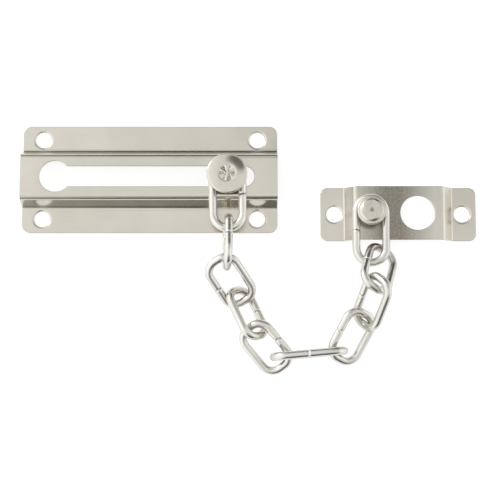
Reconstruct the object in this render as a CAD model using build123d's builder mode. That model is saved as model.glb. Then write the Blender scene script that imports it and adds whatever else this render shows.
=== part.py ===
from build123d import *
import os

os.makedirs("parts", exist_ok=True)

# A door chain guard, laid out on its back. The slide plate is screwed to the door and the keeper
# plate to the door frame. A chain of bent-wire links joins a stud, which slides in the slide
# plate's keyhole slot, to a rivet in the keeper plate.
# Millimetres. The origin is the middle of the slide plate's screw pattern, on its mounting face.
# +X runs along the slide plate towards the keeper, +Y up the door, and +Z out of the door.

# ---- sheet metal -------------------------------------------------------------------------------
sheet = 1.2               # thickness of both pressed plates
bend_radius = 0.9         # inside radius of every bend
edge_round = 0.2          # rounding of the punched ends and rims
screw_hole = 5.5          # diameter, for No. 8 or 4 mm screws

# ---- slide plate -------------------------------------------------------------------------------
slide_length = 88.0
slide_flange = 9.3        # width of each screw flange
slide_channel = 14.5      # width of the raised face, between its bends
slide_web = 2.1           # how far each sloping web runs sideways
slide_rise = 7.5          # from the mounting face to the front of the raised face
slide_corner = 2.8
slide_hole_from_end = 7.0
slide_hole_from_edge = 4.8
slot_width = 7.0
slot_from_end = 8.0       # from the slot's closed end to the plate's right end
entry_hole = 10.7         # diameter of the keyhole's round entry
entry_from_end = 12.0     # from the entry's centre to the plate's left end

# ---- keeper plate ------------------------------------------------------------------------------
keeper_length = 53.6
keeper_width = 18.5
keeper_flange = 8.5
keeper_web = 3.4
keeper_rise = 5.0
keeper_corner = 2.4
keeper_hole_from_end = 4.8
parking_hole = 11.8       # takes the stud's button when the chain is put away
parking_from_middle = 6.3

# ---- stud --------------------------------------------------------------------------------------
stud_x = 26.75            # where the stud stands in the slot
neck_diameter = 6.2       # the round part that a chain link turns on
neck_gap = 4.2            # room for the link between the raised face and the disc
button_clearance = 0.35   # between the button's rim and the entry hole
button_thickness = 1.6
under_clearance = 0.3     # between the button and the underside of the raised face
disc_diameter = 13.7
disc_thickness = 2.0
disc_round = 0.5
disc_crown = 0.4          # how far the disc's face is domed
tenon_diameter = 4.4      # the stud's end inside the disc
tenon_clearance = 0.03
spread_diameter = 5.6     # the tenon's end, spread into the disc's countersink
spread_depth = 0.8
notch_count = 6           # star of notches that the staking punch leaves
notch_width = 0.6
notch_length = 1.9
notch_depth = 0.25

# ---- keeper rivet ------------------------------------------------------------------------------
rivet_from_middle = -9.9  # along the keeper
rivet_neck = 6.0
rivet_gap = 4.2
rivet_head = 9.8
rivet_head_thickness = 1.9
rivet_step = 7.0          # diameter of the step on the head's face
rivet_step_height = 0.35
rivet_shank = 4.5
rivet_clearance = 0.05    # between the shank and the keeper's hole
rivet_tail = 7.2
rivet_tail_thickness = 1.1

# ---- chain -------------------------------------------------------------------------------------
wire = 2.8
short_link = 20.2         # outside length of most links
first_link = 25.8         # longer, to reach round the stud's neck
middle_link = 26.4        # the one long link among the short ones
last_link = 25.0          # longer, to reach round the rivet's neck
link_width = 12.9         # outside
link_corner = 4.2         # radius of the bends, to the middle of the wire
hook_corner = 5.0         # the same for the first and last links, whose ends are nearly half circles
butt_gap = 0.15           # where the two ends of a link's wire meet
neck_play = 0.45          # between the first or last link's bend and the neck it turns on

# How each link lies, from the stud to the keeper, as the slack chain rests in a loose U: its length,
# its bend, its heading from +X, its rise, and its turn about its own length (degrees), then where its
# near end lies from the far end of the link before, in wire diameters along X, Y and Z (for the first
# link, from where it would touch the raised face behind the neck).
links = (
    (first_link, hook_corner, -89, 1, -1, (0, 0, 0.6)),
    (short_link, link_corner, -90, 28, 85, (-0.05, 0.95, -1.25)),
    (short_link, link_corner, -55, -25, 190, (-1.25, 0.45, -0.85)),
    (short_link, link_corner, -65, 10, -48, (-0.9, 1.25, 0.15)),
    (short_link, link_corner, -50, -13, 17, (-1, 1, -0.2)),
    (middle_link, link_corner, 5, 3, 92, (-1, 1.15, 1.05)),
    (short_link, link_corner, 62, 7, 25, (-0.45, -1, -0.8)),
    (short_link, link_corner, 70, 28, -42, (-0.05, -1.3, -0.25)),
    (short_link, link_corner, 72, -35, 23, (-0.8, -0.9, -0.5)),
    (last_link, hook_corner, 90, 1, -1, (-1.6, -1.6, 1.05)),
)

slide_width = slide_channel + 2 * (slide_web + slide_flange)
neck_foot = slide_rise - sheet - under_clearance
disc_bottom = slide_rise + neck_gap
disc_top = disc_bottom + disc_thickness
rivet_underside = keeper_rise - sheet
rivet_seat = keeper_rise + rivet_gap


def hat_profile(width, flange, web, rise):
    """The line through the middle of a pressed plate's bent section, in the current BuildLine."""
    outer = width / 2
    crest = outer - flange - web
    low = sheet / 2
    high = rise - sheet / 2
    return FilletPolyline(
        (-outer, low),
        (-outer + flange, low),
        (-crest, high),
        (crest, high),
        (outer - flange, low),
        (outer, low),
        radius=bend_radius + sheet / 2,
    )


def round_plate(plate, along, corner):
    """Rounds a bent plate's outline corners, then the rims of its two cut ends."""
    fillet(plate.edges().filter_by(Axis.Z), corner)
    fillet(plate.faces().filter_by(along).edges(), edge_round)


def round_rims(plate):
    """Rounds both rims of every hole in a plate's flat faces."""
    flats = plate.faces().filter_by(Axis.Z)
    holes = [hole for flat in flats for hole in flat.inner_wires()]
    fillet([edge for hole in holes for edge in hole.edges()], edge_round)


# ---- slide plate: a hat section along X, with four screw holes and the keyhole slot ------------
with BuildPart() as slide_plate:
    with BuildSketch(Plane.YZ):
        with BuildLine():
            hat_profile(slide_width, slide_flange, slide_web, slide_rise)
        trace(line_width=sheet)
    extrude(amount=slide_length / 2, both=True)
    round_plate(slide_plate, Axis.X, slide_corner)
    hole_span_x = slide_length - 2 * slide_hole_from_end
    hole_span_y = slide_width - 2 * slide_hole_from_edge
    with GridLocations(hole_span_x, hole_span_y, 2, 2):
        Hole(radius=screw_hole / 2)
    entry_x = entry_from_end - slide_length / 2
    slot_end_x = slide_length / 2 - slot_from_end - slot_width / 2
    with BuildSketch(Plane.XY.offset(slide_rise)):
        with Locations((entry_x, 0)):
            Circle(entry_hole / 2)
        with Locations(((entry_x + slot_end_x) / 2, 0)):
            SlotCenterToCenter(slot_end_x - entry_x, slot_width)
    extrude(amount=-2 * sheet, mode=Mode.SUBTRACT)
    round_rims(slide_plate)
slide_plate.part.label = "slide_plate"
export_step(slide_plate.part, "parts/slide_plate.step")


def link_plane(near_end, heading, rise, turn):
    """A link's own plane: X runs along the link from the middle of its near end's wire."""
    along = Vector(1, 0, 0).rotate(Axis.Y, -rise).rotate(Axis.Z, heading)
    level = Vector(0, 1, 0).rotate(Axis.Z, heading)
    across = level.rotate(Axis((0, 0, 0), along), turn)
    return Plane(origin=near_end, x_dir=along, z_dir=along.cross(across))


def bent_link(plane, length, corner):
    """One link: a round wire bent round both ends, its two cut ends meeting in the middle of a leg."""
    end = length - wire
    side = (link_width - wire) / 2
    with BuildPart() as link:
        with BuildLine(plane):
            bend = FilletPolyline(
                (end / 2 + butt_gap / 2, side),
                (end, side),
                (end, -side),
                (0, -side),
                (0, side),
                (end / 2 - butt_gap / 2, side),
                radius=corner,
            )
        with BuildSketch(Plane(origin=bend @ 0, z_dir=bend % 0)):
            Circle(wire / 2)
        sweep(path=bend)
    return link


# ---- chain: each link hooks round the one before, the first round the stud's neck --------------
first_heading = links[0][2]
neck_reach = Vector(neck_diameter / 2 + neck_play + wire / 2, 0, 0).rotate(Axis.Z, first_heading)
far_end = Vector(stud_x, 0, slide_rise) - neck_reach
for number, (length, corner, heading, rise, turn, reach) in enumerate(links, start=1):
    plane = link_plane(far_end + wire * Vector(*reach), heading, rise, turn)
    link = bent_link(plane, length, corner)
    link.part.label = f"chain_link_{number:02d}"
    export_step(link.part, f"parts/{link.part.label}.step")
    far_end = plane.from_local_coords((length - wire, 0, 0))

# The last link is hooked over the rivet's neck, which fixes where the keeper lies.
last_reach = Vector(rivet_neck / 2 + neck_play + wire / 2, 0, 0).rotate(Axis.Z, heading)
rivet_x = far_end.X - last_reach.X
keeper_x = rivet_x - rivet_from_middle
keeper_y = far_end.Y - last_reach.Y

# ---- keeper plate: the same sheet bent across, with a rivet hole and the parking hole ----------
keeper_section = Plane(origin=(keeper_x, keeper_y, 0), x_dir=(1, 0, 0), z_dir=(0, -1, 0))
with BuildPart() as keeper_plate:
    with BuildSketch(keeper_section):
        with BuildLine():
            hat_profile(keeper_length, keeper_flange, keeper_web, keeper_rise)
        trace(line_width=sheet)
    extrude(amount=keeper_width / 2, both=True)
    round_plate(keeper_plate, Axis.Y, keeper_corner)
    with Locations((keeper_x, keeper_y)):
        with GridLocations(keeper_length - 2 * keeper_hole_from_end, 0, 2, 1):
            Hole(radius=screw_hole / 2)
    with Locations((keeper_x + parking_from_middle, keeper_y)):
        Hole(radius=parking_hole / 2)
    with Locations((rivet_x, keeper_y)):
        Hole(radius=rivet_shank / 2 + rivet_clearance)
    round_rims(keeper_plate)
keeper_plate.part.label = "keeper_plate"
export_step(keeper_plate.part, "parts/keeper_plate.step")


def section_at(x, y):
    """An upright sketch plane through a turned piece's axis: sketch X is radius, sketch Y is height."""
    return Plane(origin=(x, y, 0), x_dir=(1, 0, 0), z_dir=(0, -1, 0))


def rims_of(turned, diameter):
    """The edges of a turned piece that run round it at a diameter."""
    circles = turned.edges().filter_by(GeomType.CIRCLE)
    return circles.filter_by(lambda edge: abs(2 * edge.radius - diameter) < 0.001)


# ---- stud pin: a button behind the plate, a neck, and a tenon spread over the disc -------------
stud_axis = Axis((stud_x, 0, 0), (0, 0, 1))
button_radius = entry_hole / 2 - button_clearance
spread_top = disc_top + disc_crown
with BuildPart() as stud_pin:
    with BuildSketch(section_at(stud_x, 0)):
        with BuildLine():
            Polyline(
                (0, neck_foot - button_thickness),
                (button_radius, neck_foot - button_thickness),
                (button_radius, neck_foot),
                (neck_diameter / 2, neck_foot),
                (neck_diameter / 2, disc_bottom),
                (tenon_diameter / 2, disc_bottom),
                (tenon_diameter / 2, spread_top - spread_depth),
                (spread_diameter / 2, spread_top),
                (0, spread_top),
                close=True,
            )
        make_face()
    revolve(axis=stud_axis)
    fillet(rims_of(stud_pin, 2 * button_radius), edge_round)
    with BuildSketch(Plane.XY.offset(spread_top)):
        with Locations((stud_x, 0)):
            with PolarLocations(notch_length / 2 + notch_width, notch_count):
                Rectangle(notch_length, notch_width)
    extrude(amount=-notch_depth, mode=Mode.SUBTRACT)
stud_pin.part.label = "stud_pin"
export_step(stud_pin.part, "parts/stud_pin.step")

# ---- stud disc: the round front plate that keeps the link on the neck --------------------------
tenon_hole = tenon_diameter / 2 + tenon_clearance
spread_hole = spread_diameter / 2 + tenon_clearance
with BuildPart() as stud_disc:
    with BuildSketch(section_at(stud_x, 0)):
        with BuildLine():
            Line((tenon_hole, spread_top - spread_depth), (tenon_hole, disc_bottom))
            Line((tenon_hole, disc_bottom), (disc_diameter / 2, disc_bottom))
            Line((disc_diameter / 2, disc_bottom), (disc_diameter / 2, disc_top))
            ThreePointArc(
                (disc_diameter / 2, disc_top),
                (disc_diameter / 4 + spread_hole / 2, disc_top + 0.7 * disc_crown),
                (spread_hole, spread_top),
            )
            Line((spread_hole, spread_top), (tenon_hole, spread_top - spread_depth))
        make_face()
    revolve(axis=stud_axis)
    fillet(rims_of(stud_disc, disc_diameter), disc_round)
stud_disc.part.label = "stud_disc"
export_step(stud_disc.part, "parts/stud_disc.step")

# ---- keeper rivet: stepped head, neck, shank through the keeper, and the tail set behind it ----
rivet_top = rivet_seat + rivet_head_thickness
with BuildPart() as keeper_rivet:
    with BuildSketch(section_at(rivet_x, keeper_y)):
        with BuildLine():
            Polyline(
                (0, rivet_underside - rivet_tail_thickness),
                (rivet_tail / 2, rivet_underside - rivet_tail_thickness),
                (rivet_tail / 2, rivet_underside),
                (rivet_shank / 2, rivet_underside),
                (rivet_shank / 2, keeper_rise),
                (rivet_neck / 2, keeper_rise),
                (rivet_neck / 2, rivet_seat),
                (rivet_head / 2, rivet_seat),
                (rivet_head / 2, rivet_top),
                (rivet_step / 2, rivet_top),
                (rivet_step / 2, rivet_top + rivet_step_height),
                (0, rivet_top + rivet_step_height),
                close=True,
            )
        make_face()
    revolve(axis=Axis((rivet_x, keeper_y, 0), (0, 0, 1)))
    fillet(rims_of(keeper_rivet, rivet_head), disc_round)
    fillet(rims_of(keeper_rivet, rivet_tail), edge_round)
keeper_rivet.part.label = "keeper_rivet"
export_step(keeper_rivet.part, "parts/keeper_rivet.step")
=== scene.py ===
# %% [markdown]
# # A door chain guard, finished in Blender
#
# The real thing is a pressed slide plate, a chain of bent-wire links and a small keeper plate, all
# taken to be nickel-plated steel. It lies on its back on a pale table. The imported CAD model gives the
# places and nearly all the sizes, so this script mostly has to give each piece a finished mesh, a
# real-looking metal and light. The few sizes that it repeats from the CAD are named where they are
# used.

# %% Load the fixed frame
import math

import bpy
import numpy as np
from mathutils import Matrix, Vector


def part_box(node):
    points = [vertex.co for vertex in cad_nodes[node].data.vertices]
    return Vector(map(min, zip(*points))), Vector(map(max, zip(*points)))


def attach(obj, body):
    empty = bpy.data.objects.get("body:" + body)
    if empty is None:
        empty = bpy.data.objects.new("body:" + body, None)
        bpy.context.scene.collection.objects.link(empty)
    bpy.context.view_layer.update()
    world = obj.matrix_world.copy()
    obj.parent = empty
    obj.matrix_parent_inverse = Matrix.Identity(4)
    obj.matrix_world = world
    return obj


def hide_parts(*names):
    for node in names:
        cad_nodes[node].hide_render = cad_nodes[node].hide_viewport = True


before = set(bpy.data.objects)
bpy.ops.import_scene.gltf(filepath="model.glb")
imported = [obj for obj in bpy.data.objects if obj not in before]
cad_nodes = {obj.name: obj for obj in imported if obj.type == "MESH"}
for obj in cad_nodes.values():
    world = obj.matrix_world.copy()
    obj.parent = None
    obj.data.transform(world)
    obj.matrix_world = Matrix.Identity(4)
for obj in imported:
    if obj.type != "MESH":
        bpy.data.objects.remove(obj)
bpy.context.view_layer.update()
MM = 0.001

# %% [markdown]
# ## Writing node trees as Python
#
# A material or a Geometry Nodes tree is a graph. Adding each Math node by hand takes four lines and
# hides the formula. Instead, a small class wraps a socket, and Python's own operators on it add the
# Math nodes, so a formula reads as a formula. Every other node comes from one method, which sets the
# node's settings before its values, because a setting can change which sockets there are.

# %% A number in a node tree, and the tree that it lives in
class Number:
    """A socket that carries a number. Python's operators on it add Math nodes."""

    def __init__(self, graph, socket):
        self.graph = graph
        self.socket = socket

    def maths(self, operation, *others):
        values = dict(enumerate((self, *others)))
        node = self.graph.add("ShaderNodeMath", {"operation": operation}, values)
        return Number(self.graph, node.outputs[0])

    def __add__(self, other):
        return self.maths("ADD", other)

    def __sub__(self, other):
        return self.maths("SUBTRACT", other)

    def __mul__(self, other):
        return self.maths("MULTIPLY", other)

    def __truediv__(self, other):
        return self.maths("DIVIDE", other)

    def __rsub__(self, other):
        return (self * -1.0) + other

    def __abs__(self):
        return self.maths("ABSOLUTE")

    __radd__ = __add__
    __rmul__ = __mul__

    def clamped(self, low, high):
        return self.maths("MAXIMUM", low).maths("MINIMUM", high)

    def ramp(self, start, end):
        """0 below start, 1 above end, and a straight run between."""
        return ((self - start) / (end - start)).clamped(0.0, 1.0)


class Graph:
    """A node tree that is being built."""

    def __init__(self, tree):
        self.tree = tree

    def add(self, kind, settings=None, values=None):
        node = self.tree.nodes.new(kind)
        for name, setting in (settings or {}).items():
            setattr(node, name, setting)
        for key, value in (values or {}).items():
            self.feed(node.inputs[key], value)
        return node

    def feed(self, socket, value):
        if isinstance(value, Number):
            value = value.socket
        if isinstance(value, bpy.types.NodeSocket):
            self.tree.links.new(value, socket)
        else:
            socket.default_value = value

    def number(self, socket):
        return Number(self, socket)


print("node helpers ready")

# %% [markdown]
# ## Nickel
#
# All the metal is made as nickel over steel, but each kind of piece looks different. The plates are
# pressed from rolled strip, so faint lines run along them. The links are tumbled, which leaves them
# bright with shallow dents and short scratches in every direction. The stud and the rivet are turned
# on a lathe, so their marks run in rings. One function holds what all of them share: a pale metal
# whose tone drifts, whose gloss is uneven, and whose surface is never quite flat. Each finish then
# hands it its own marks. Patterns read Object coordinates, which are metres in the part's frame.

# %% What every nickel finish shares
NICKEL_DEEP = (0.53, 0.50, 0.43, 1.0)
NICKEL_PALE = (0.70, 0.67, 0.60, 1.0)
# The brown of the rivet's stain, also used for the painted dark reflection on the keeper's raised face
NICKEL_STAIN_AND_SHADE = (0.25, 0.225, 0.19, 1.0)
WIRE_DEEP = (0.46, 0.445, 0.41, 1.0)
WIRE_PALE = (0.80, 0.785, 0.735, 1.0)
PLATING_DRIFT = 45.0          # cycles per metre of the slow change of tone
SMUDGE = 260.0                # of the finger marks and faint stains
TINY_DIMPLE = 1500.0          # of the plating's own fine orange peel
BUMP_STRENGTH = 0.35


def noise(graph, place, scale, detail=3.0, roughness=0.5):
    values = {"Vector": place, "Scale": scale, "Detail": detail, "Roughness": roughness}
    return graph.number(graph.add("ShaderNodeTexNoise", values=values).outputs[0])


def stretched(graph, place, x, y, z):
    """The same coordinates, with a pattern's cells made longer along the smaller factors."""
    return graph.add("ShaderNodeMapping", values={"Vector": place, "Scale": (x, y, z)}).outputs[0]


def blend_colours(graph, factor, first, second):
    values = {"Factor": factor, 6: first, 7: second}
    return graph.add("ShaderNodeMix", {"data_type": "RGBA"}, values).outputs[2]


def nickel(name, marks, gloss, mark_depth, deep=NICKEL_DEEP, pale=NICKEL_PALE, stain_and_painted_shade=None):
    """A nickel finish. marks(graph, place) gives its fine marks as a number about 0.5, and
    stain_and_painted_shade(graph, place) how far the colour goes brown and the gloss dull, from 0 to 1,
    for a real stain or for a painted dark reflection."""
    material = bpy.data.materials.new(name)
    material.use_nodes = True
    graph = Graph(material.node_tree)
    graph.tree.nodes.clear()
    place = graph.add("ShaderNodeTexCoord").outputs["Object"]
    fine = marks(graph, place)
    drift = noise(graph, place, PLATING_DRIFT, detail=2.0)
    smudge = noise(graph, place, SMUDGE, detail=5.0, roughness=0.6)
    dimple = noise(graph, place, TINY_DIMPLE, detail=2.0)
    paleness = (drift - 0.5) * 0.9 + (smudge - 0.5) * 0.25 + (fine - 0.5) * 0.3 + 0.6
    colour = blend_colours(graph, paleness.clamped(0.0, 1.0), deep, pale)
    rough = (smudge - 0.5) * 0.1 + (fine - 0.5) * 0.12 + gloss
    # Brown colour and duller gloss: a real stain on the rivet, a painted dark reflection on the keeper
    if stain_and_painted_shade:
        stain_and_shade_amount = stain_and_painted_shade(graph, place)
        colour = blend_colours(graph, stain_and_shade_amount, colour, NICKEL_STAIN_AND_SHADE)
        rough = rough + stain_and_shade_amount * 0.12
    rough = rough.clamped(0.05, 0.9)
    height = fine * mark_depth + dimple * (0.3 * mark_depth)
    bump = graph.add("ShaderNodeBump",
                     values={"Strength": BUMP_STRENGTH, "Distance": 1.0, "Height": height})
    shader = graph.add(
        "ShaderNodeBsdfPrincipled",
        values={"Base Color": colour, "Roughness": rough, "Metallic": 1.0, "Normal": bump.outputs[0]},
    )
    graph.add("ShaderNodeOutputMaterial", values={"Surface": shader.outputs[0]})
    print("finish", name, "has", len(graph.tree.nodes), "nodes")
    return material


# %% [markdown]
# ### Rolled strip, tumbled wire and turned faces
#
# Rolling marks are noise pulled out long in one direction. Tumbling marks are two layers of the same
# noise turned against each other, so that no direction wins. Turning marks need the distance from
# the lathe's axis: noise read at that distance alone gives rings.
#
# Two places are brown and duller as well: a small stain in the middle of the rivet's head, and a
# painted dark reflection on the keeper's raised face beside the rivet, painted as a brown patch with
# rougher gloss. Each has a full part and an edge where it fades out.

# %% The finishes, the rivet's stain and the keeper's painted dark reflection
STAIN_BLOTS = 1.2 * MM        # what the noise adds to the distance from the rivet's axis, at most
STAIN_FADE = (1.1 * MM, 1.5 * MM)
# Where the painted dark reflection lies on the keeper's raised face
PATCH_MIDDLE = 7.5 * MM       # from the rivet's axis, along the keeper
PATCH_FADE = (3.0 * MM, 14.5 * MM)
PATCH_RISE = (3.0 * MM, 4.6 * MM)   # starts partway up the keeper's webs, full on its raised face


def rolled_marks(graph, place):
    broad = noise(graph, stretched(graph, place, 25.0, 900.0, 900.0), 1.0, detail=4.0)
    hair = noise(graph, stretched(graph, place, 120.0, 5200.0, 5200.0), 1.0, detail=2.0)
    return broad * 0.6 + hair * 0.4


def tumbled_marks(graph, place):
    turned = graph.add("ShaderNodeMapping", values={"Vector": place, "Rotation": (0.7, 0.5, 1.1)})
    one_way = noise(graph, stretched(graph, place, 500.0, 2600.0, 900.0), 1.0)
    other_way = noise(graph, stretched(graph, turned.outputs[0], 2400.0, 450.0, 900.0), 1.0)
    return one_way * 0.5 + other_way * 0.5


def middle(node):
    low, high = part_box(node)
    return (Vector(low) + Vector(high)) / 2


def reach_from(graph, place, centre):
    """The distance from an upright axis through centre."""
    flat_place = graph.add("ShaderNodeVectorMath", {"operation": "MULTIPLY"},
                           {0: place, 1: (1.0, 1.0, 0.0)})
    return graph.add("ShaderNodeVectorMath", {"operation": "DISTANCE"},
                     {0: flat_place.outputs[0], 1: (centre.x, centre.y, 0.0)}).outputs["Value"]


def turned_marks(centre):
    """Rings about an upright axis through centre."""
    def marks(graph, place):
        ring_place = graph.add("ShaderNodeCombineXYZ", values={"X": reach_from(graph, place, centre)})
        rings = noise(graph, ring_place.outputs[0], 3200.0, detail=2.0)
        patches = noise(graph, place, 700.0)
        return rings * 0.65 + patches * 0.35
    return marks


def centre_stain(centre):
    """A small brown stain round an upright axis through centre."""
    def stain_and_painted_shade(graph, place):
        blot = noise(graph, place, 1800.0, detail=2.0)
        reach = graph.number(reach_from(graph, place, centre))
        return (1.0 - (reach + blot * STAIN_BLOTS).ramp(*STAIN_FADE)) * 0.8
    return stain_and_painted_shade


def raised_painted_dark_reflection(graph, place):
    """A painted dark reflection: full on the keeper's raised face beside the rivet, fading to both
    ends, none on the flanges.
    """
    parts = graph.add("ShaderNodeSeparateXYZ", values={"Vector": place})
    across = graph.number(parts.outputs["X"])
    height = graph.number(parts.outputs["Z"])
    pebble = noise(graph, place, 1400.0, detail=3.0, roughness=0.6)
    beside_rivet = middle("keeper_rivet").x + PATCH_MIDDLE
    patch = 1.0 - abs(across - beside_rivet).ramp(*PATCH_FADE)
    return height.ramp(*PATCH_RISE) * patch * (pebble * 1.1 + 0.35).clamped(0.0, 1.0)


strip_nickel = nickel("strip_nickel", rolled_marks, gloss=0.2, mark_depth=0.000015)
# The keeper's raised face gets a painted dark reflection, a brown patch beside the rivet
keeper_nickel = nickel("keeper_nickel", rolled_marks, gloss=0.2, mark_depth=0.000015,
                       stain_and_painted_shade=raised_painted_dark_reflection)
wire_nickel = nickel("wire_nickel", tumbled_marks, gloss=0.24, mark_depth=0.00005,
                     deep=WIRE_DEEP, pale=WIRE_PALE)
stud_nickel = nickel("stud_nickel", turned_marks(middle("stud_disc")), gloss=0.12,
                     mark_depth=0.00001)
rivet_nickel = nickel("rivet_nickel", turned_marks(middle("keeper_rivet")), gloss=0.3,
                      mark_depth=0.00001, stain_and_painted_shade=centre_stain(middle("keeper_rivet")))

# %% [markdown]
# ## The pressed plates, the stud and the rivet
#
# The CAD shapes of these pieces already have their detail, down to the rounded rims and the star of
# notches in the stud's end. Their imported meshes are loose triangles, so light breaks at every facet.
# A copy with its doubles merged can be shaded smooth, with a sharp edge only where two faces really
# meet at an angle. At a rounded rim each corner's normal is weighted by the size of the faces round
# it, which keeps the flat faces looking flat. The punch draws the front rim of each screw hole down,
# so there the CAD's small rounding is stretched wider and deeper. The copy replaces the CAD node and
# rides on its body.

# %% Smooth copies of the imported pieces
SHARP = math.radians(32)
WELD = 0.002 * MM
SHEET = 1.2 * MM
SCREW_HOLE = 2.75 * MM        # radius
SLIDE_HOLES = (37.0, 13.85)   # mm from the middle of each plate to its screw holes, either way
KEEPER_HOLES = 22.0
CAD_RIM = 0.2 * MM            # radius of the CAD's rounding of each rim
RIM_SLACK = 0.05              # share of that rounding allowed past either end of it
RIM_WIDTH = 0.7 * MM
RIM_DEPTH = 0.45 * MM


def with_modifier(piece, kind, settings):
    """Gives the object the mesh that one modifier makes of it."""
    modifier = piece.modifiers.new("once", kind)
    for name, setting in settings.items():
        setattr(modifier, name, setting)
    evaluated = piece.evaluated_get(bpy.context.evaluated_depsgraph_get())
    mesh = bpy.data.meshes.new_from_object(evaluated)
    piece.modifiers.remove(modifier)
    piece.data = mesh


def shade_smooth(mesh):
    mesh.polygons.foreach_set("use_smooth", [True] * len(mesh.polygons))
    mesh.set_sharp_from_angle(angle=SHARP)


def within_rounding(share):
    return (share > -RIM_SLACK) & (share < 1.0 + RIM_SLACK)


def drawn_rims(mesh, holes):
    """Widens and deepens the rounding of the front rim of each screw hole."""
    places = np.empty(len(mesh.vertices) * 3)
    mesh.vertices.foreach_get("co", places)
    places = places.reshape(-1, 3)
    for hole in holes:
        spoke = places[:, :2] - np.array(hole[:2])
        reach = np.linalg.norm(spoke, axis=1)
        outward = (reach - SCREW_HOLE) / CAD_RIM
        down = (SHEET - places[:, 2]) / CAD_RIM
        rim = within_rounding(outward) & within_rounding(down)
        new_reach = SCREW_HOLE + outward[rim] * RIM_WIDTH
        places[rim, :2] = np.array(hole[:2]) + spoke[rim] * (new_reach / reach[rim])[:, None]
        places[rim, 2] = SHEET - down[rim] * RIM_DEPTH
        print("rim at", [round(v / MM, 1) for v in hole[:2]], "moved", int(rim.sum()), "points")
    mesh.vertices.foreach_set("co", places.ravel())


def smooth_copy(node, name, body, material, screw_holes=()):
    """A welded, smooth-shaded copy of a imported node."""
    piece = bpy.data.objects.new(name, cad_nodes[node].data.copy())
    bpy.context.scene.collection.objects.link(piece)
    drawn_rims(piece.data, screw_holes)
    with_modifier(piece, "WELD", {"merge_threshold": WELD})
    shade_smooth(piece.data)
    with_modifier(piece, "WEIGHTED_NORMAL", {"keep_sharp": True, "weight": 100})
    finish_piece(piece, body, material, replaces=node)


def finish_piece(piece, body, material, replaces):
    """Gives a finished mesh its metal and hands it to its body."""
    mesh = piece.data
    mesh.name = piece.name
    mesh.materials.clear()
    mesh.materials.append(material)
    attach(piece, body)
    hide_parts(replaces)
    print(piece.name, "on", body, "has", len(mesh.polygons), "faces")


out, up = SLIDE_HOLES
slide_holes = [Vector((x, y, 0.0)) * MM for x in (-out, out) for y in (-up, up)]
keeper_middle = middle("keeper_plate")
keeper_holes = [keeper_middle + Vector((x, 0.0, 0.0)) * MM for x in (-KEEPER_HOLES, KEEPER_HOLES)]
smooth_copy("slide_plate", "pressed_slide_plate", "slide_plate", strip_nickel, slide_holes)
smooth_copy("keeper_plate", "pressed_keeper_plate", "keeper", keeper_nickel, keeper_holes)
smooth_copy("stud_pin", "stud_neck_and_button", "stud", stud_nickel)
smooth_copy("stud_disc", "stud_face_disc", "stud", stud_nickel)
smooth_copy("keeper_rivet", "stepped_rivet", "keeper", rivet_nickel)

# %% [markdown]
# ## The links
#
# Each link is a length of round wire bent round both ends until its cut ends meet in the middle of
# one leg. That is a rule, so Geometry Nodes can make it: a line of points is laid along the bend by
# a formula, and a circle is swept along it. The wire is sheared before it is bent, which leaves its
# two ends slightly tapered, and that is what makes the joint show as a fine line with soft lips.
# The tree's inputs are named sizes, so one tree makes every link.

# %% The tree for one link
POINTS_ALONG_WIRE = 180
POINTS_ROUND_WIRE = 26
LINK_INPUTS = ("Wire", "Length", "Width", "Corner", "Butt Gap", "End Taper", "Taper Length")


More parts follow.
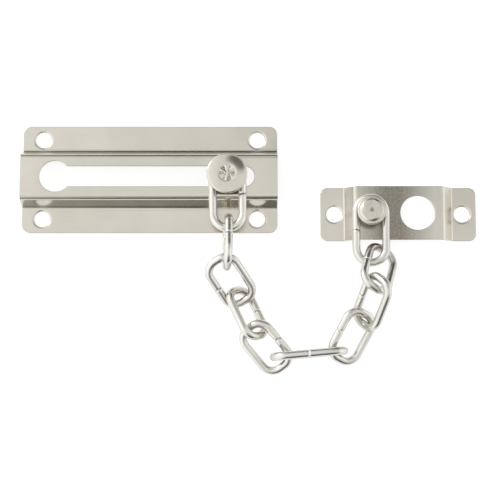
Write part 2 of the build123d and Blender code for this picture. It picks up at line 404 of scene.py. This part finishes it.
def link_tree(material):
    tree = bpy.data.node_groups.new("bent_wire_link", "GeometryNodeTree")
    for name in LINK_INPUTS:
        tree.interface.new_socket(name, in_out="INPUT", socket_type="NodeSocketFloat")
    tree.interface.new_socket("Geometry", in_out="OUTPUT", socket_type="NodeSocketGeometry")
    graph = Graph(tree)
    sizes = graph.add("NodeGroupInput").outputs[:len(LINK_INPUTS)]
    wire, length, width, corner, gap, taper, taper_length = (graph.number(s) for s in sizes)
    half_leg = (length - wire) * 0.5 - corner
    bar = width - wire - corner * 2.0
    quarter = corner * (math.pi / 2)
    first_bend = half_leg
    near_bar = first_bend + quarter
    second_bend = near_bar + bar
    back_leg = second_bend + quarter
    third_bend = back_leg + half_leg * 2.0
    far_bar = third_bend + quarter
    fourth_bend = far_bar + bar
    last_leg = fourth_bend + quarter
    wire_run = last_leg + half_leg

    line = graph.add("GeometryNodeCurvePrimitiveLine", values={"End": (1.0, 0.0, 0.0)})
    points = graph.add("GeometryNodeResampleCurve",
                       values={"Curve": line.outputs[0], "Count": POINTS_ALONG_WIRE})
    fraction = graph.number(graph.add("GeometryNodeSplineParameter").outputs["Factor"])
    travelled = fraction * (wire_run - gap) + gap * 0.5

    def stretch(start, run):
        """How much of a stretch of the wire has been travelled."""
        return (travelled - start).clamped(0.0, run)

    bent = sum(stretch(start, quarter) for start in (first_bend, second_bend, third_bend, fourth_bend))
    turn = bent / corner
    legs = stretch(0.0, half_leg) - stretch(back_leg, half_leg * 2.0) + stretch(last_leg, half_leg)
    bars = stretch(far_bar, bar) - stretch(near_bar, bar)
    along = legs + corner * turn.maths("SINE")
    across = bars + corner * turn.maths("COSINE") + (bar * 0.5)
    place = graph.add("ShaderNodeCombineXYZ", values={"X": along, "Y": across})
    laid = graph.add("GeometryNodeSetPosition",
                     values={"Geometry": points.outputs[0], "Position": place.outputs[0]})

    to_nearest_end = (wire_run * 0.5) - abs(travelled - wire_run * 0.5) - gap * 0.5
    lip = 1.0 - to_nearest_end.ramp(0.0, taper_length)
    thickness = 1.0 - lip * lip * taper
    section = graph.add("GeometryNodeCurvePrimitiveCircle",
                        values={"Resolution": POINTS_ROUND_WIRE, "Radius": wire * 0.5})
    swept = graph.add("GeometryNodeCurveToMesh",
                      values={"Curve": laid.outputs[0], "Profile Curve": section.outputs[0],
                              "Scale": thickness, "Fill Caps": True})
    real = graph.add("GeometryNodeRealizeInstances", values={"Geometry": swept.outputs[0]})
    coated = graph.add("GeometryNodeSetMaterial",
                       values={"Geometry": real.outputs[0], "Material": material})
    graph.add("NodeGroupOutput", values={"Geometry": coated.outputs[0]})
    print("link tree has", len(tree.nodes), "nodes")
    return tree


wire_link = link_tree(wire_nickel)

# %% [markdown]
# ## Where each link lies
#
# A packed link is only a mesh, but its shape says how it lies. Its volume's middle is the link's
# middle. The surface spreads most along the link, less across it, and least through the flat of the
# bend, so the three directions come from the spread of its triangles. The two cut ends add a little
# surface to one leg, which pulls the surface's middle towards that leg, and that gives the side with
# the joint. The mesh's reach along those directions is the link's size, since the links are not all
# of one length. Only the wire, the butt gap and the radii of the bends are repeated, further down.

# %% Read a link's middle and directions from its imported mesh
def triangle_corners(node):
    mesh = cad_nodes[node].data
    mesh.calc_loop_triangles()
    places = np.empty(len(mesh.vertices) * 3)
    mesh.vertices.foreach_get("co", places)
    corners = np.empty(len(mesh.loop_triangles) * 3, dtype=int)
    mesh.loop_triangles.foreach_get("vertices", corners)
    return places.reshape(-1, 3)[corners.reshape(-1, 3)]


def link_lie(node):
    """Where a packed link lies, as a matrix from a link at the origin with its joint on the +Y leg,
    and the link's length and width."""
    a, b, c = triangle_corners(node).transpose(1, 0, 2)
    facing = np.cross(b - a, c - a)
    area = np.linalg.norm(facing, axis=1)
    surface_middle = ((a + b + c) / 3 * area[:, None]).sum(0) / area.sum()
    volume = np.einsum("ij,ij->i", a - surface_middle, facing)
    corner_mean = (a + b + c + surface_middle) / 4
    volume_middle = (corner_mean * volume[:, None]).sum(0) / volume.sum()
    spread = (a + b + c) / 3 - volume_middle
    directions = np.linalg.eigh((spread * area[:, None]).T @ spread)[1]
    along, across = directions[:, 2], directions[:, 1]
    if (surface_middle - volume_middle) @ across < 0:
        across = -across
    axes = np.column_stack((along, across, np.cross(along, across)))
    reach = np.concatenate((a, b, c)) @ axes
    middle_place = axes @ (reach.min(0) + reach.max(0)) / 2
    length, width = np.ptp(reach, axis=0)[:2]
    return Matrix.Translation(Vector(middle_place)) @ Matrix(axes.tolist()).to_4x4(), length, width


LINK_NODES = [f"chain_link_{number:02d}" for number in range(1, 11)]
lies = {node: link_lie(node) for node in LINK_NODES}
for node, (lie, length, width) in lies.items():
    print(node, "is", round(length / MM, 2), "by", round(width / MM, 2), "mm")

# %% [markdown]
# ## Sweep the wire and lay the links
#
# The wire and the joint are the same on every link. The first and the last, which hook round a neck,
# have rounder ends. The modifier's inputs are set by their identifiers, the tree is evaluated once,
# and the result becomes a plain mesh, already moved to where the link lies, so that its object can
# stay at the origin like the CAD's own.

# %% The chain
CORNER = 4.2 * MM
HOOK_CORNER = 5.0 * MM        # of the first and the last link, which reach round a neck
LINK_SIZES = {
    "Wire": 2.8 * MM,
    "Butt Gap": 0.15 * MM,
    "End Taper": 0.14,
    "Taper Length": 0.45 * MM,
}


def swept_link(name, sizes, lie):
    """One link as a plain mesh object, lying where it should."""
    link = bpy.data.objects.new(name, bpy.data.meshes.new(name))
    bpy.context.scene.collection.objects.link(link)
    modifier = link.modifiers.new("sweep", "NODES")
    modifier.node_group = wire_link
    for item in wire_link.interface.items_tree:
        if item.in_out == "INPUT":
            modifier[item.identifier] = sizes[item.name]
    evaluated = link.evaluated_get(bpy.context.evaluated_depsgraph_get())
    mesh = bpy.data.meshes.new_from_object(evaluated)
    link.modifiers.remove(modifier)
    mesh.transform(lie)
    shade_smooth(mesh)
    link.data = mesh
    return link


for number, node in enumerate(LINK_NODES, start=1):
    lie, length, width = lies[node]
    corner = HOOK_CORNER if node in (LINK_NODES[0], LINK_NODES[-1]) else CORNER
    own_sizes = {"Length": length, "Width": width, "Corner": corner}
    link = swept_link(f"wire_link_{number:02d}", {**LINK_SIZES, **own_sizes}, lie)
    finish_piece(link, f"link_{number:02d}", wire_nickel, replaces=node)

# %% [markdown]
# ## The table, the light and the camera
#
# Bright metal shows its surroundings more than itself, so the light is built for what it reflects.
# The guard lies on a light table, a pale plain sheet that also glows, so that the slot and the holes
# show white and no shadow is hard. One wide lamp stands low at the side, where a level face does not
# mirror it but a bent edge does.

# %% The light table
TABLE_SIZE = 3.0
TABLE_DROP = 0.0002
TABLE_GLOW = 0.8
TABLE_GREY = (0.3, 0.3, 0.3, 1.0)


def light_table():
    mesh = bpy.data.meshes.new("table")
    half = TABLE_SIZE / 2
    corners = [(-half, -half, -TABLE_DROP), (half, -half, -TABLE_DROP),
               (half, half, -TABLE_DROP), (-half, half, -TABLE_DROP)]
    mesh.from_pydata(corners, [], [(0, 1, 2, 3)])
    table = bpy.data.objects.new("table", mesh)
    bpy.context.scene.collection.objects.link(table)
    material = bpy.data.materials.new("glowing_sheet")
    material.use_nodes = True
    graph = Graph(material.node_tree)
    graph.tree.nodes.clear()
    shader = graph.add(
        "ShaderNodeBsdfPrincipled",
        values={"Base Color": TABLE_GREY, "Roughness": 0.9,
                "Emission Color": (1.0, 1.0, 1.0, 1.0), "Emission Strength": TABLE_GLOW},
    )
    graph.add("ShaderNodeOutputMaterial", values={"Surface": shader.outputs[0]})
    mesh.materials.append(material)


light_table()
print("light table", TABLE_SIZE, "m wide")

# %% [markdown]
# Overhead the sky is even. It is brightest on the left and the right, where tall soft boxes stand, and
# falls to dark in front and behind. That draws bright lines down the upright bends and dark ones
# along the level edges. A grey card in front and to the right deepens the lines along the right half
# of the slide plate. One soft dark spot nearly overhead stands for the camera's own shape, which a
# domed polished face always mirrors somewhere.

# %% The studio's sky and lamp
SKY_STRENGTH = 1.4
OVERHEAD = 1.0 / SKY_STRENGTH
HORIZON_DARK = 0.04
DARKEST_BEARING = 0.22        # how far the darkest part of the horizon lies to the right of the middle
SPOT_DIRECTION = Vector((0.16, 0.38, 0.91)).normalized()
SPOT_COSINES = (math.cos(math.radians(12)), math.cos(math.radians(7)))
SPOT_DEPTH = 0.8
CARD_DEPTH = 0.6
LAMP_POWER = 2.0
LAMP_SIZE = 0.4
LAMP_PLACE = (-0.75, 0.55, 0.42)
LAMP_TARGET = (0.03, -0.02, 0.0)

# Where each part of the sky starts and where it is full, read along one axis of the direction. At
# its right edge the card starts to fade and is gone.
SKY_RISE = (0.3, 0.9)
SIDE_BOXES = (0.32, 0.7)
CARD_FRONT = (0.42, 0.6)
CARD_LEFT = (-0.13, -0.02)
CARD_RIGHT = (0.3, 0.5)


def studio_sky():
    world = bpy.data.worlds.new("studio")
    bpy.context.scene.world = world
    world.use_nodes = True
    graph = Graph(world.node_tree)
    graph.tree.nodes.clear()
    direction = graph.add("ShaderNodeTexCoord").outputs["Generated"]
    parts = graph.add("ShaderNodeSeparateXYZ", values={"Vector": direction})
    up = graph.number(parts.outputs["Z"])
    rightward = graph.number(parts.outputs["X"])
    frontward = graph.number(parts.outputs["Y"]) * -1.0
    sideways = abs(rightward - DARKEST_BEARING)
    plain_sky = up.ramp(*SKY_RISE) * (OVERHEAD - HORIZON_DARK) + HORIZON_DARK
    boxed_sky = plain_sky + sideways.ramp(*SIDE_BOXES) * (1.0 - plain_sky)
    nearness = graph.add("ShaderNodeVectorMath", {"operation": "DOT_PRODUCT"},
                         {0: direction, 1: SPOT_DIRECTION})
    spot = graph.number(nearness.outputs["Value"]).ramp(*SPOT_COSINES)
    card = (frontward.ramp(*CARD_FRONT) * rightward.ramp(*CARD_LEFT)
            * (1.0 - rightward.ramp(*CARD_RIGHT)))
    brightness = boxed_sky * (1.0 - spot * SPOT_DEPTH) * (1.0 - card * CARD_DEPTH)
    colour = blend_colours(graph, brightness, (0.0, 0.0, 0.0, 1.0), (1.0, 1.0, 1.0, 1.0))
    sky = graph.add("ShaderNodeBackground", values={"Color": colour, "Strength": SKY_STRENGTH})
    graph.add("ShaderNodeOutputWorld", values={"Surface": sky.outputs[0]})


def wide_lamp(name, place, target, size, power):
    light = bpy.data.lights.new(name, "AREA")
    light.shape = "DISK"
    light.size = size
    light.energy = power
    lamp = bpy.data.objects.new(name, light)
    lamp.location = place
    lamp.rotation_euler = (Vector(target) - Vector(place)).to_track_quat("-Z", "Y").to_euler()
    bpy.context.scene.collection.objects.link(lamp)


studio_sky()
wide_lamp("soft_lamp", LAMP_PLACE, LAMP_TARGET, LAMP_SIZE, LAMP_POWER)
print("sky and lamp ready")

# %% [markdown]
# The camera looks almost straight down, from a little below the middle of the guard, through a long
# lens, so the plates stay rectangular and only the webs and the sides of the heads show a little.

# %% The camera
CAMERA_PLACE = Vector((33.25, -82.8, 447.2)) * MM
CAMERA_TILT = math.radians(7.44)
CAMERA_LEAN = math.radians(-0.16)
LENS = 94.4                   # mm, like the sensor's width
SENSOR_WIDTH = 36.0


def overhead_camera():
    lens = bpy.data.cameras.new("overhead")
    lens.lens = LENS
    lens.sensor_width = SENSOR_WIDTH
    lens.clip_start = 0.01
    camera = bpy.data.objects.new("overhead", lens)
    tilt = Matrix.Rotation(CAMERA_TILT, 4, "X")
    lean = Matrix.Rotation(CAMERA_LEAN, 4, "Y")
    camera.matrix_world = Matrix.Translation(CAMERA_PLACE) @ tilt @ lean
    bpy.context.scene.collection.objects.link(camera)
    bpy.context.scene.camera = camera


overhead_camera()
bpy.context.scene.view_settings.view_transform = "Standard"
print("camera", LENS, "mm lens")
